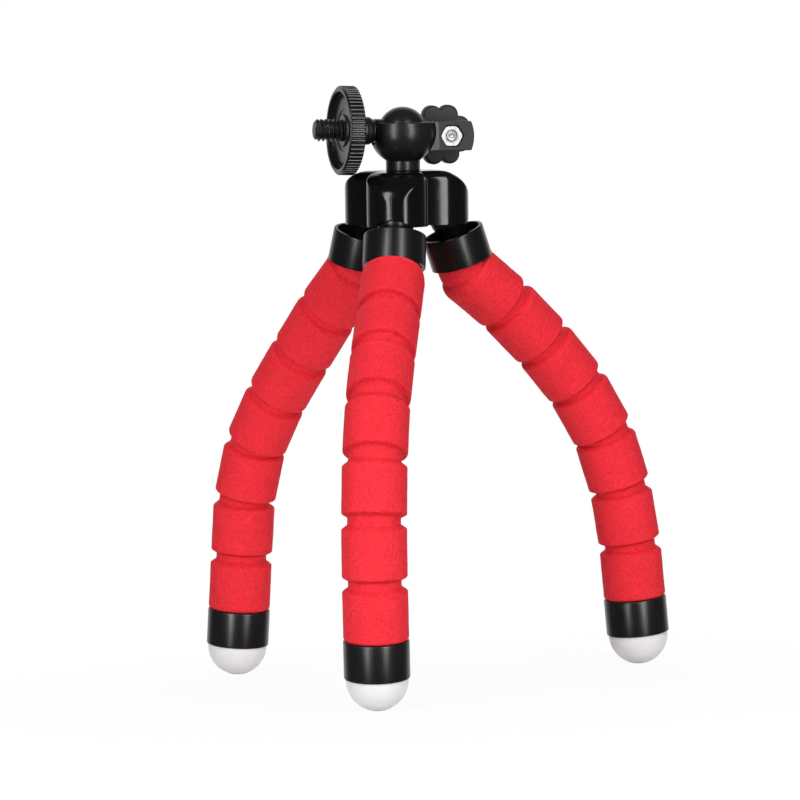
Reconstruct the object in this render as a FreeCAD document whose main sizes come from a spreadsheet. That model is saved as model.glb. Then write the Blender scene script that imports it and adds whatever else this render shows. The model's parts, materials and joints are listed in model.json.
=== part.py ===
"""Mini tripod: three bendable foam legs, a three-lobed hub, a ball head and a camera screw.

Every length is in millimetres. The legs, the head and the clamp each have a frame of their own,
and the whole model is set down on its three feet at the end. +Z is up, the origin is on the
ground in the middle of the footprint, and the camera screw points towards -X.
"""
import FreeCAD
import Part
import Sketcher
import math
import os

Vector = FreeCAD.Vector
Rotation = FreeCAD.Rotation
Placement = FreeCAD.Placement

document = FreeCAD.newDocument("mini_tripod")
sheet = document.addObject("Spreadsheet::Sheet", "Sizes")

# The driving dimensions. Angles are in degrees and counts are plain numbers.
SIZES = {
    # Hub: three straight-sided lobes with a domed top and an arched relief under each lobe.
    "lobe_circle": 10.5,
    "lobe_radius": 8.65,
    "lobe_top_round": 3.0,
    "hub_tall": 15.3,
    "hub_dome_round": 9.2,
    "hub_foot_round": 1.6,
    "hub_margin": 0.05,
    "leg_circle": 13.5,
    "socket_lift": 1.2,
    "arch_half_width": 5.7,
    "arch_rise": 2.0,
    # Upper ball of each leg and the collar under it.
    "hip_ball_radius": 5.3,
    "ball_play": 0.06,
    "stub_top_radius": 4.5,
    "stub_foot_radius": 4.4,
    "collar_radius": 8.9,
    "collar_bore": 7.5,
    "collar_drop": 3.9,
    "collar_tall": 9.3,
    "collar_cup_deep": 3.5,
    "collar_edge": 1.0,
    "knee_drop": 2.4,
    # Chain of ball links inside the foam.
    "link_pitch": 17.1,
    "link_ball_radius": 3.5,
    "link_neck_radius": 1.7,
    "link_radius": 5.0,
    "link_rim": 1.1,
    "spigot_radius": 4.0,
    "spigot_long": 6.0,
    "snug": 0.02,
    # Foam drums between the grooves.
    "foam_radius": 9.0,
    "foam_lip": 0.05,
    "foam_bore_play": 0.1,
    "groove_width": 3.0,
    "web_radius": 7.3,
    "web_gap": 0.3,
    "mouth_radius": 6.1,
    "mouth_deep": 3.0,
    "first_shoulder": 3.6,
    # Foot collar and rubber foot.
    "ankle_radius": 9.1,
    "ankle_tall": 10.5,
    "ankle_edge": 0.6,
    "plug_radius": 6.0,
    "plug_tall": 3.0,
    "foot_radius": 8.6,
    "foot_wall": 0.6,
    # Ball head.
    "head_rise": 11.2,
    "ball_radius": 7.0,
    "cup_radius": 9.5,
    "cup_rim": 2.65,
    "neck_radius": 4.85,
    "neck_spigot_radius": 4.0,
    "neck_spigot_long": 4.0,
    "stem_radius": 3.4,
    "stem_play": 0.3,
    "stem_plain": 9.3,
    "flange_radius": 4.4,
    "flange_cone": 1.3,
    "wheel_back": 14.4,
    "flange_gap": 0.2,
    # Hub screw.
    "hub_screw_radius": 1.5,
    "hub_screw_head_radius": 3.0,
    "hub_screw_head_tall": 2.4,
    "hub_screw_seat": 6.0,
    "hub_screw_long": 11.5,
    # Camera screw and its lock wheel. The screw is a quarter inch across.
    "screw_radius": 3.175,
    "screw_stand": 6.9,
    "screw_chamfer": 0.6,
    "screw_root_radius": 2.0,
    "screw_root_long": 7.0,
    "shank_radius": 3.0,
    "wheel_radius": 12.65,
    "wheel_thick": 4.75,
    "wheel_edge": 0.6,
    "wheel_recess_radius": 11.0,
    "wheel_recess_deep": 1.8,
    # Clamp lug, nut, bolt and knob.
    "lug_reach": 20.0,
    "lug_half_thick": 4.0,
    "lug_tall": 8.3,
    "lug_drop": 1.5,
    "lug_end_round": 10.5,
    "slit_width": 1.0,
    "slit_deep": 5.5,
    "bolt_inset": 6.4,
    "bolt_radius": 1.5,
    "bolt_hole_play": 0.1,
    "bolt_head_radius": 2.75,
    "bolt_head_thick": 2.0,
    "nut_flats": 5.5,
    "nut_thick": 2.2,
    "nut_sink": 0.8,
    "nut_play": 0.25,
    "knob_gap": 0.25,
    "knob_core_radius": 7.0,
    "knob_lobe_radius": 2.8,
    "knob_lobe_circle": 6.1,
    "knob_thick": 4.6,
    "knob_neck_radius": 4.2,
    "knob_neck_long": 4.65,
    "knob_cap": 1.2,
}
LEG_COUNT = 3
LINK_COUNT = 7
KNOB_LOBES = 8
KNOB_TURN = 21.0
STEM_LIFT = 2.0
HEAD_AZIMUTH = 13.0
STEM_SWING = 4.5
FRONT_LOBE_AZIMUTH = 260.0

# The three legs as they stand: how far each leg plane is turned from its lobe, and the lean
# from the vertical of its collar and then of each link, outwards, from the hub to the foot.
LEGS = {
    "front_leg": {"lobe": 0, "turn": 3.2, "leans": [21, 52, 54, 47, 29.5, 12, -1, -5]},
    "right_leg": {"lobe": 1, "turn": 9.8, "leans": [19.5, 52, 46.5, 41.5, 32, 19, 10.5, 5.5]},
    "left_leg": {"lobe": 2, "turn": -4.9, "leans": [17, 45.5, 41, 39.5, 32.5, 17, 5.5, 5]},
}

for row, (alias, number) in enumerate(SIZES.items(), start=1):
    sheet.set("A%d" % row, alias)
    sheet.set("B%d" % row, str(number))
    sheet.setAlias("B%d" % row, alias)
document.recompute()


class Length:
    """A length from the sheet: its number now, and the expression that keeps it bound."""

    def __init__(self, number, text):
        self.number = number
        self.text = text

    def join(self, other, sign, number):
        return Length(number, "(%s %s %s)" % (self.text, sign, length(other).text))

    def __add__(self, other):
        return self.join(other, "+", self.number + length(other).number)

    def __sub__(self, other):
        return self.join(other, "-", self.number - length(other).number)

    def __mul__(self, other):
        return self.join(other, "*", self.number * length(other).number)

    def __truediv__(self, other):
        return self.join(other, "/", self.number / length(other).number)

    def __neg__(self):
        return length(0) - self


def length(item):
    """Turn a plain number into a Length, and pass a Length through."""
    if isinstance(item, Length):
        return item
    return Length(float(item), repr(float(item)))


def size(alias):
    """Read one driving dimension as a Length bound to its cell."""
    return Length(SIZES[alias], "Sizes." + alias)


def leg_of(hypotenuse, side):
    """The other short side of a right triangle: where a sphere meets a plane or a cylinder."""
    square = hypotenuse * hypotenuse - side * side
    return Length(math.sqrt(square.number), "sqrt(%s)" % square.text)


def part_object(kind, name, **sizes):
    """Add a Part primitive and bind its sizes."""
    item = document.addObject(kind, name)
    for attribute, amount in sizes.items():
        setattr(item, attribute, length(amount).number)
        item.setExpression(attribute, length(amount).text)
    return item


def at(item, x=0, y=0, z=0, turn=None):
    """Move a primitive to a bound position, turned about its own origin first."""
    item.Placement = Placement(Vector(0, 0, 0), turn or Rotation())
    for axis, amount in (("x", x), ("y", y), ("z", z)):
        setattr(item.Placement.Base, axis, length(amount).number)
        item.setExpression("Placement.Base." + axis, length(amount).text)
    return item


def fused(name, items):
    """Join solids into one."""
    joined = document.addObject("Part::MultiFuse", name)
    joined.Shapes = items
    joined.Refine = True
    return joined


def cut(name, base, tool):
    """Take one solid out of another."""
    left = document.addObject("Part::Cut", name)
    left.Base = base
    left.Tool = tool
    left.Refine = True
    return left


def rounded_top(name, base, tall, rounding):
    """Round the outer edges of a solid's top face, which is at a height."""
    document.recompute()
    top = [index for index, edge in enumerate(base.Shape.Edges, start=1)
           if all(abs(vertex.Z - tall.number) < 1e-6 for vertex in edge.Vertexes)]
    fillet = document.addObject("Part::Fillet", name)
    fillet.Base = base
    fillet.Edges = [(index, rounding.number, rounding.number) for index in top]
    return fillet


def origin_plane(body, role):
    """Find one of a body's own origin planes."""
    for feature in body.Origin.OriginFeatures:
        if feature.Role == role:
            return feature
    raise ValueError("no plane " + role)


def pin_coordinate(sketch, across, vertex, amount):
    """Tie one coordinate of a sketch vertex to its bound length."""
    kind, axis = ("DistanceX", -2) if across else ("DistanceY", -1)
    if abs(amount.number) < 1e-9:
        sketch.addConstraint(Sketcher.Constraint("PointOnObject", vertex[0], vertex[1], axis))
        return
    ends = (-1, 1) + vertex
    bound = amount
    if amount.number < 0:
        ends = vertex + (-1, 1)
        bound = -amount
    index = sketch.addConstraint(Sketcher.Constraint(kind, *ends, bound.number))
    sketch.setExpression("Constraints[%d]" % index, bound.text)


def draw_outline(sketch, outline):
    """Draw a closed outline of (radius, height) corners.

    A corner with a third entry is reached by an arc about that centre, the shorter way round.
    A centre is a height on the axis, or a (radius, height) pair.
    """
    corners = [(length(c[0]), length(c[1])) for c in outline]
    vertices = []
    for index, corner in enumerate(outline):
        start = corners[index - 1]
        end = corners[index]
        first = Vector(start[0].number, start[1].number, 0)
        last = Vector(end[0].number, end[1].number, 0)
        if len(corner) == 2:
            edge = sketch.addGeometry(Part.LineSegment(first, last))
            vertices.append(((edge, 1), (edge, 2)))
            continue
        centre = corner[2] if isinstance(corner[2], tuple) else (0, corner[2])
        middle = Vector(length(centre[0]).number, length(centre[1]).number, 0)
        begin = math.atan2(first.y - middle.y, first.x - middle.x)
        finish = math.atan2(last.y - middle.y, last.x - middle.x)
        sweep = (finish - begin) % (2 * math.pi)
        forward = sweep < math.pi
        if not forward:
            begin, finish = finish, begin
        circle = Part.Circle(middle, Vector(0, 0, 1), (first - middle).Length)
        edge = sketch.addGeometry(Part.ArcOfCircle(circle, begin, finish))
        vertices.append(((edge, 1), (edge, 2)) if forward else ((edge, 2), (edge, 1)))
        pin_coordinate(sketch, True, (edge, 3), length(centre[0]))
    for index, (begin, finish) in enumerate(vertices):
        following = vertices[(index + 1) % len(vertices)][0]
        sketch.addConstraint(Sketcher.Constraint("Coincident", *finish, *following))
        pin_coordinate(sketch, True, finish, corners[index][0])
        pin_coordinate(sketch, False, finish, corners[index][1])


def turned_body(name, outline):
    """Turn an outline about the Z axis into one solid."""
    body = document.addObject("PartDesign::Body", name)
    sketch = body.newObject("Sketcher::SketchObject", name + "_outline")
    sketch.AttachmentSupport = [(origin_plane(body, "XZ_Plane"), "")]
    sketch.MapMode = "FlatFace"
    draw_outline(sketch, outline)
    turning = body.newObject("PartDesign::Revolution", name + "_turning")
    turning.Profile = sketch
    turning.ReferenceAxis = (sketch, ["V_Axis"])
    turning.Angle = 360.0
    return body


def circle_pad(body, name, radius, tall, lift=0, offset=0):
    """Pad a round boss of a body up from a height on its axis."""
    sketch = body.newObject("Sketcher::SketchObject", name + "_outline")
    sketch.AttachmentSupport = [(origin_plane(body, "XY_Plane"), "")]
    sketch.MapMode = "FlatFace"
    sketch.AttachmentOffset = Placement(Vector(0, 0, length(lift).number), Rotation())
    sketch.setExpression("AttachmentOffset.Base.z", length(lift).text)
    centre = Vector(length(offset).number, 0, 0)
    sketch.addGeometry(Part.Circle(centre, Vector(0, 0, 1), radius.number))
    index = sketch.addConstraint(Sketcher.Constraint("Radius", 0, radius.number))
    sketch.setExpression("Constraints[%d]" % index, radius.text)
    pin_coordinate(sketch, True, (0, 3), length(offset))
    pin_coordinate(sketch, False, (0, 3), length(0))
    pad = body.newObject("PartDesign::Pad", name)
    pad.Profile = sketch
    pad.Length = tall.number
    pad.setExpression("Length", tall.text)
    return pad


def make_collar(name):
    """Leg top: the hip ball, a tapered stub, an open cup and the first ball of the chain."""
    ball = size("hip_ball_radius")
    radius = size("collar_radius")
    edge = size("collar_edge")
    top = -size("collar_drop")
    bottom = top - size("collar_tall")
    floor = top - size("collar_cup_deep")
    knee = bottom - size("knee_drop")
    cup = size("web_radius") + size("web_gap")
    neck = size("link_neck_radius")
    small_ball = size("link_ball_radius")
    return turned_body(name, [
        (0, ball),
        (size("stub_top_radius"), -leg_of(ball, size("stub_top_radius")), 0),
        (size("stub_foot_radius"), floor),
        (size("collar_bore"), floor),
        (size("collar_bore"), top),
        (radius - edge, top),
        (radius, top - edge, (radius - edge, top - edge)),
        (radius, bottom),
        (leg_of(cup, size("knee_drop")), bottom),
        (neck, knee + leg_of(cup, neck), knee),
        (neck, knee + leg_of(small_ball, neck)),
        (0, knee - small_ball, knee),
    ])


def make_link(name, last):
    """Chain link: a socket, a barrel, and a ball on a neck or, at the foot, a plain spigot."""
    pitch = size("link_pitch")
    socket = size("link_ball_radius") + size("ball_play")
    barrel = size("link_radius")
    rim = size("link_rim")
    outline = [
        (0, -socket),
        (leg_of(socket, rim), rim, 0),
        (leg_of(barrel, rim), rim),
        (barrel, 0, 0),
    ]
    if last:
        spigot = size("spigot_radius")
        shoulder = -(pitch - size("groove_width") / 2)
        outline += [
            (barrel, shoulder),
            (spigot, shoulder),
            (spigot, shoulder - size("spigot_long")),
            (0, shoulder - size("spigot_long")),
        ]
    else:
        neck = size("link_neck_radius")
        ball = size("link_ball_radius")
        shoulder = -(pitch - size("web_radius") - size("web_gap"))
        outline += [
            (barrel, shoulder),
            (neck, shoulder),
            (neck, -pitch + leg_of(ball, neck)),
            (0, -pitch - ball, -pitch),
        ]
    return turned_body(name, outline)


def make_foam(name, first, last):
    """Foam drum: a rounded web at the top, the drum, and a hollow for the next web below."""
    pitch = size("link_pitch")
    radius = size("foam_radius")
    web = size("web_radius")
    cup = web + size("web_gap")
    bore = size("link_radius") + size("foam_bore_play")
    half_groove = size("groove_width") / 2
    edge = radius - leg_of(cup, half_groove) - size("foam_lip")
    top = -size("first_shoulder") if first else -half_groove
    bottom = -(pitch - half_groove)
    start = (bore, bottom) if last else (bore, -pitch + leg_of(cup, bore), -pitch)
    outline = [start]
    if first:
        mouth = size("mouth_radius")
        outline += [
            (bore, leg_of(web, mouth) - size("mouth_deep")),
            (mouth, leg_of(web, mouth)),
        ]
    else:
        outline += [(bore, leg_of(web, bore))]
    outline += [
        (leg_of(web, top), top, 0),
        (radius - edge, top),
        (radius, top - edge, (radius - edge, top - edge)),
        (radius, bottom + edge),
        (radius - edge, bottom, (radius - edge, bottom + edge)),
    ]
    if not last:
        outline += [(leg_of(cup, half_groove), bottom)]
    return turned_body(name, outline)


def make_ankle(name):
    """Foot collar: it closes the end of the foam and holds the rubber foot."""
    top = -(size("link_pitch") - size("groove_width") / 2)
    bottom = top - size("ankle_tall")
    radius = size("ankle_radius")
    edge = size("ankle_edge")
    socket = size("spigot_radius") + size("snug")
    recess = size("plug_radius") + size("snug")
    return turned_body(name, [
        (socket, top - size("spigot_long")),
        (socket, top),
        (radius - edge, top),
        (radius, top - edge, (radius - edge, top - edge)),
        (radius, bottom + edge),
        (radius - edge, bottom, (radius - edge, bottom + edge)),
        (recess, bottom),
        (recess, bottom + size("plug_tall")),
        (0, bottom + size("plug_tall")),
        (0, top - size("spigot_long")),
    ])


def make_foot(name):
    """Rubber foot: a dome under the foot collar with a plug that fills its recess."""
    top = -(size("link_pitch") - size("groove_width") / 2) - size("ankle_tall")
    plug = size("plug_radius")
    radius = size("foot_radius")
    dome = top - size("foot_wall")
    return turned_body(name, [
        (0, top + size("plug_tall")),
        (0, dome - radius),
        (radius, dome, dome),
        (radius, top),
        (plug, top),
        (plug, top + size("plug_tall")),
    ])


def make_hub(name):
    """Hub: three straight-sided lobes under one dome, less the sockets and arched reliefs."""
    tall = size("hub_tall")
    reach = size("lobe_circle") + size("lobe_radius") + size("hub_margin")
    dome = size("hub_dome_round")
    round_foot = size("hub_foot_round")
    socket_radius = size("hip_ball_radius") + size("ball_play")
    arch_width = size("arch_half_width")
    arch_rise = size("arch_rise")
    arch_radius = (arch_width * arch_width + arch_rise * arch_rise) / (arch_rise * 2)
    solids = []
    hollows = []
    for lobe in range(LEG_COUNT):
        azimuth = 360.0 / LEG_COUNT * lobe
        turn = "cos(%g)" % azimuth, "sin(%g)" % azimuth
        ahead = Length(math.cos(math.radians(azimuth)), turn[0])
        aside = Length(math.sin(math.radians(azimuth)), turn[1])
        half = size("lobe_radius")
        column = part_object("Part::Cylinder", "hub_lobe", Radius=half, Height=tall)
        solids.append(at(column, size("lobe_circle") * ahead, size("lobe_circle") * aside))
        arm = part_object("Part::Box", "hub_arm", Length=size("lobe_circle"), Width=half * 2, Height=tall)
        solids.append(at(arm, half * aside, -half * ahead, 0, Rotation(Vector(0, 0, 1), azimuth)))
        socket = part_object("Part::Sphere", "hub_socket", Radius=socket_radius)
        place = size("leg_circle")
        hollows.append(at(socket, place * ahead, place * aside, size("socket_lift")))
        relief = part_object("Part::Cylinder", "hub_relief", Radius=arch_radius, Height=reach)
        outward = Rotation(Vector(0, 0, 1), azimuth) * Rotation(Vector(0, 1, 0), 90)
        hollows.append(at(relief, place * ahead, place * aside, arch_rise - arch_radius, outward))
    pocket = part_object("Part::Cylinder", "hub_pocket", Radius=size("neck_spigot_radius") + size("snug"),
                         Height=size("neck_spigot_long"))
    hollows.append(at(pocket, z=tall - size("neck_spigot_long")))
    seat = size("hub_screw_seat")
    counterbore = size("hub_screw_head_radius") + size("bolt_hole_play")
    hollows.append(part_object("Part::Cylinder", "hub_counterbore", Radius=counterbore, Height=seat))
    hollows.append(part_object("Part::Cylinder", "hub_screw_hole", Height=tall,
                               Radius=size("hub_screw_radius") + size("bolt_hole_play")))
    envelope = turned_body("hub_envelope", [
        (0, 0),
        (reach - round_foot, 0),
        (reach, round_foot, (reach - round_foot, round_foot)),
        (reach, tall - dome),
        (reach - dome, tall, (reach - dome, tall - dome)),
        (0, tall),
    ])
    columns = fused("hub_columns", solids)
    common = document.addObject("Part::Common", "hub_domed")
    common.Base = rounded_top("hub_rounded", columns, tall, size("lobe_top_round"))
    common.Tool = envelope
    return cut(name, common, fused("hub_hollows", hollows))


def make_hub_screw(name):
    """Screw that holds the head on the hub: its head is deep in the hub's underside."""
    seat = size("hub_screw_seat")
    return turned_body(name, [
        (0, seat - size("hub_screw_head_tall")),
        (size("hub_screw_head_radius"), seat - size("hub_screw_head_tall")),
        (size("hub_screw_head_radius"), seat),
        (size("hub_screw_radius"), seat),
        (size("hub_screw_radius"), seat + size("hub_screw_long")),
        (0, seat + size("hub_screw_long")),
    ])


def make_ball_cup(name):
    """Cup of the ball head: neck, bowl, stem notch and the split lug that squeezes the ball."""
    radius = size("cup_radius")
    rim = size("cup_rim")
    rise = size("head_rise")
    rim_angle = Length(math.degrees(math.asin(SIZES["cup_rim"] / SIZES["cup_radius"])),
                       "asin(Sizes.cup_rim / Sizes.cup_radius)")
    bowl = document.addObject("Part::Sphere", "cup_bowl")
    bowl.Radius = radius.number
    bowl.setExpression("Radius", radius.text)
    bowl.Angle2 = rim_angle.number
    bowl.setExpression("Angle2", rim_angle.text)
    neck = at(part_object("Part::Cylinder", "cup_neck", Radius=size("neck_radius"), Height=rise), z=-rise)
    spigot_long = size("neck_spigot_long")
    spigot = part_object("Part::Cylinder", "cup_spigot", Radius=size("neck_spigot_radius"),
                         Height=spigot_long + rise / 2)
    at(spigot, z=-rise - spigot_long)
    half = size("lug_half_thick")
    tall = size("lug_tall")
    reach = size("lug_reach")
    low = -size("lug_drop") - tall / 2
    block = part_object("Part::Box", "lug_block", Length=reach, Width=half * 2, Height=tall)
    at(block, 0, -half, low)
    roller = part_object("Part::Cylinder", "lug_roller", Radius=size("lug_end_round"), Height=half * 2)
    at(roller, reach - size("lug_end_round"), half, -size("lug_drop"), Rotation(Vector(1, 0, 0), 90))
    lug = document.addObject("Part::Common", "lug_rounded")
    lug.Base = block
    lug.Tool = roller
    cavity = part_object("Part::Sphere", "cup_cavity", Radius=size("ball_radius") + size("ball_play"))
    slot = size("stem_radius") + size("stem_play")
    trough = part_object("Part::Cylinder", "stem_trough", Radius=slot, Height=radius * 2)
    swing = Rotation(Vector(0, 0, 1), STEM_SWING)
    at(trough, turn=swing * Rotation(Vector(0, 1, 0), -90))
    gate = part_object("Part::Box", "stem_gate", Length=radius * 2, Width=slot * 2, Height=radius)
    ahead = Length(math.cos(math.radians(STEM_SWING)), "cos(%g)" % STEM_SWING)
    aside = Length(math.sin(math.radians(STEM_SWING)), "sin(%g)" % STEM_SWING)
    at(gate, slot * aside - radius * 2 * ahead, -(radius * 2 * aside + slot * ahead), 0, swing)
    gap = size("slit_width")
    slit = part_object("Part::Box", "lug_slit", Length=reach, Width=gap, Height=radius + size("slit_deep"))
    at(slit, rim, -gap / 2, -size("slit_deep"))
    hole_radius = size("bolt_radius") + size("bolt_hole_play")
    bolt_reach = reach - size("bolt_inset")
    hole = part_object("Part::Cylinder", "lug_hole", Radius=hole_radius, Height=half * 4)
    at(hole, bolt_reach, half * 2, -size("lug_drop"), Rotation(Vector(1, 0, 0), 90))
    pocket = hexagon("lug_pocket", size("nut_flats") + size("nut_play") * 2,
                     size("nut_thick") + size("nut_sink"))
    at(pocket, bolt_reach, -half + size("nut_thick") + size("nut_sink"), -size("lug_drop"),
       Rotation(Vector(1, 0, 0), 90))
    pilot = part_object("Part::Cylinder", "cup_pilot", Radius=size("hub_screw_radius") + size("snug"),
                        Height=size("hub_screw_long"))
    at(pilot, z=size("hub_screw_seat") - size("hub_tall") - rise)
    solid = fused("cup_solid", [bowl, neck, spigot, lug])
    return cut(name, solid, fused("cup_hollows", [cavity, trough, gate, slit, hole, pocket, pilot]))


def hexagon(name, flats, tall):
    """A hexagonal prism, sized across its flats."""
    prism = document.addObject("Part::Prism", name)
    prism.Polygon = 6
    corner = flats / Length(math.sqrt(3), "sqrt(3)")
    prism.Circumradius = corner.number
    prism.setExpression("Circumradius", corner.text)
    prism.Height = tall.number
    prism.setExpression("Height", tall.text)
    return prism


def make_clamp_nut(name):
    """Hexagonal nut that sits in the front of the lug and cannot turn."""
    prism = hexagon("nut_prism", size("nut_flats"), size("nut_thick"))
    hole = part_object("Part::Cylinder", "nut_hole", Radius=size("bolt_radius") + size("snug"),
                       Height=size("nut_thick"))
    return cut(name, prism, hole)


def bolt_outline(play):
    """Outline of the clamp bolt, or of its mould in the knob when some play is added."""
    front = size("nut_sink")
    knob_end = size("lug_half_thick") * 2 + size("knob_gap") + size("knob_neck_long") + size("knob_thick")
    head_top = knob_end - size("knob_cap")
    return [
        (0, front),
        (size("bolt_radius") + play, front),
        (size("bolt_radius") + play, head_top - size("bolt_head_thick")),
        (size("bolt_head_radius") + play, head_top - size("bolt_head_thick")),
        (size("bolt_head_radius") + play, head_top + play),
        (0, head_top + play),
    ]


def make_clamp_bolt(name):
    """Bolt moulded into the knob, which runs through the lug into the nut."""
    return turned_body(name, bolt_outline(length(0)))


def make_clamp_knob(name):
    """Star knob behind the lug, moulded round the head of the bolt."""
    body = document.addObject("PartDesign::Body", name)
    back = size("lug_half_thick") * 2 + size("knob_gap")
    neck = size("knob_neck_long")
    thick = size("knob_thick")
    circle_pad(body, name + "_neck", size("knob_neck_radius"), neck + thick / 2, back)
    circle_pad(body, name + "_core", size("knob_core_radius"), thick, back + neck)
    lobe = circle_pad(body, name + "_lobe", size("knob_lobe_radius"), thick, back + neck,
                      size("knob_lobe_circle"))
    pattern = body.newObject("PartDesign::PolarPattern", name + "_lobes")
    pattern.Originals = [lobe]
    pattern.Axis = (origin_plane(body, "Z_Axis"), [""])
    pattern.Angle = 360.0
    pattern.Occurrences = KNOB_LOBES
    body.Tip = pattern
    document.recompute()
    full = body.Shape.Volume
    sketch = body.newObject("Sketcher::SketchObject", name + "_mould")
    sketch.AttachmentSupport = [(origin_plane(body, "XZ_Plane"), "")]
    sketch.MapMode = "FlatFace"
    draw_outline(sketch, bolt_outline(size("snug")))
    groove = body.newObject("PartDesign::Groove", name + "_bore")
    groove.Profile = sketch
    groove.ReferenceAxis = (sketch, ["V_Axis"])
    groove.Angle = 360.0
    document.recompute()
    if body.Shape.Volume >= full:
        raise ValueError("the knob has no bore")
    return body


def make_ball_stem(name):
    """Ball and stem in one piece, with a flange behind the lock wheel."""
    ball = size("ball_radius")
    stem = size("stem_radius")
    end = size("wheel_back") - size("flange_gap")
    root = size("screw_root_radius") + size("snug")
    return turned_body(name, [
        (0, -ball),
        (stem, leg_of(ball, stem), 0),
        (stem, size("stem_plain")),
        (size("flange_radius"), size("stem_plain") + size("flange_cone")),
        (size("flange_radius"), end),
        (root, end),
        (root, end - size("screw_root_long")),
        (0, end - size("screw_root_long")),
    ])


def make_camera_screw(name):
    """Quarter inch camera screw: its root is fixed in the stem and its end stands proud."""
    end = size("wheel_back") - size("flange_gap")
    seat = size("wheel_back") + size("wheel_thick")
    tip = seat + size("screw_stand")
    radius = size("screw_radius")
    chamfer = size("screw_chamfer")
    return turned_body(name, [
        (0, end - size("screw_root_long")),
        (size("screw_root_radius"), end - size("screw_root_long")),
        (size("screw_root_radius"), end),
        (size("shank_radius"), end),
        (size("shank_radius"), seat),
        (radius, seat),
        (radius, tip - chamfer),
        (radius - chamfer, tip),
        (0, tip),
    ])


def make_lock_wheel(name):
    """Knurled lock wheel that runs on the screw and tightens against the camera."""
    back = size("wheel_back")
    seat = back + size("wheel_thick")
    radius = size("wheel_radius")
    edge = size("wheel_edge")
    bore = size("shank_radius") + size("ball_play")
    recess = size("wheel_recess_radius")
    floor = seat - size("wheel_recess_deep")
    return turned_body(name, [
        (bore, back),
        (radius - edge, back),
        (radius, back + edge),
        (radius, seat - edge),
        (radius - edge, seat),
        (recess, seat),
        (recess, floor),
        (bore, floor),
    ])


def leaning_frame(origin, azimuth, lean):
    """A frame whose downward axis leans outwards from the vertical, in a plane at an azimuth."""
    turn = Rotation(Vector(0, 0, 1), azimuth) * Rotation(Vector(0, 1, 0), -lean)
    return Placement(origin, turn)


def leg_frames(leg):
    """Frames of one leg in the hub's frame: its collar at the hip ball, then each link."""
    lobe_azimuth = FRONT_LOBE_AZIMUTH + 360.0 / LEG_COUNT * leg["lobe"]
    azimuth = lobe_azimuth + leg["turn"]
    out = Rotation(Vector(0, 0, 1), lobe_azimuth)
    origin = out.multVec(Vector(SIZES["leg_circle"], 0, SIZES["socket_lift"]))
    drop = SIZES["collar_drop"] + SIZES["collar_tall"] + SIZES["knee_drop"]
    frames = []
    for lean in leg["leans"]:
        frame = leaning_frame(origin, azimuth, lean)
        frames.append(frame)
        origin = frame.multVec(Vector(0, 0, -drop))
        drop = SIZES["link_pitch"]
    return frames


def standing_frame(frames_by_leg):
    """The frame that sets the hub down so that its three rubber feet all touch the ground."""
    down = SIZES["link_pitch"] - SIZES["groove_width"] / 2 + SIZES["ankle_tall"] + SIZES["foot_wall"]
    soles = [frames[-1].multVec(Vector(0, 0, -down)) for frames in frames_by_leg.values()]
    upright = (soles[1] - soles[0]).cross(soles[2] - soles[0])
    if upright.z < 0:
        upright = -upright
    turn = Rotation(upright, Vector(0, 0, 1))
    height = turn.multVec(soles[0]).z - SIZES["foot_radius"]
    return Placement(Vector(0, 0, -height), turn)


pieces = {}
frames = {}


def add_piece(node, item, frame):
    """Name a finished piece and note the frame that it belongs in."""
    item.Label = node
    pieces[node] = item
    frames[node] = frame


leg_frame_lists = {name: leg_frames(leg) for name, leg in LEGS.items()}
for leg_name, leg_list in leg_frame_lists.items():
    add_piece(leg_name + "_collar", make_collar(leg_name + "_collar"), leg_list[0])
    for number in range(1, LINK_COUNT + 1):
        last_link = number == LINK_COUNT
        link_name = "%s_link_%d" % (leg_name, number)
        foam_name = "%s_foam_%d" % (leg_name, number)
        add_piece(link_name, make_link(link_name, last_link), leg_list[number])
        add_piece(foam_name, make_foam(foam_name, number == 1, last_link), leg_list[number])
    add_piece(leg_name + "_foot_collar", make_ankle(leg_name + "_foot_collar"), leg_list[-1])
    add_piece(leg_name + "_foot", make_foot(leg_name + "_foot"), leg_list[-1])

upright_axis = Vector(0, 0, 1)
hub_frame = Placement(Vector(0, 0, 0), Rotation(upright_axis, FRONT_LOBE_AZIMUTH))
head_height = SIZES["hub_tall"] + SIZES["head_rise"]
head_frame = Placement(Vector(0, 0, head_height), Rotation(upright_axis, HEAD_AZIMUTH))
swing_frame = head_frame * Placement(Vector(0, 0, 0), Rotation(upright_axis, STEM_SWING))
stem_frame = swing_frame * Placement(Vector(0, 0, 0), Rotation(Vector(0, 1, 0), STEM_LIFT - 90))
bolt_reach = SIZES["lug_reach"] - SIZES["bolt_inset"]
clamp_front = Vector(bolt_reach, -SIZES["lug_half_thick"], -SIZES["lug_drop"])
clamp_frame = head_frame * Placement(clamp_front, Rotation(Vector(1, 0, 0), -90))
knob_frame = clamp_frame * Placement(Vector(0, 0, 0), Rotation(upright_axis, KNOB_TURN))
nut_frame = clamp_frame * Placement(Vector(0, 0, SIZES["nut_sink"]), Rotation())

add_piece("hub", make_hub("hub"), hub_frame)
add_piece("hub_screw", make_hub_screw("hub_screw"), Placement())
add_piece("ball_cup", make_ball_cup("ball_cup"), head_frame)
add_piece("ball_stem", make_ball_stem("ball_stem"), stem_frame)
add_piece("camera_screw", make_camera_screw("camera_screw"), stem_frame)
add_piece("lock_wheel", make_lock_wheel("lock_wheel"), stem_frame)
add_piece("clamp_nut", make_clamp_nut("clamp_nut"), nut_frame)
add_piece("clamp_bolt", make_clamp_bolt("clamp_bolt"), knob_frame)
add_piece("clamp_knob", make_clamp_knob("clamp_knob"), knob_frame)
document.recompute()

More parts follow.
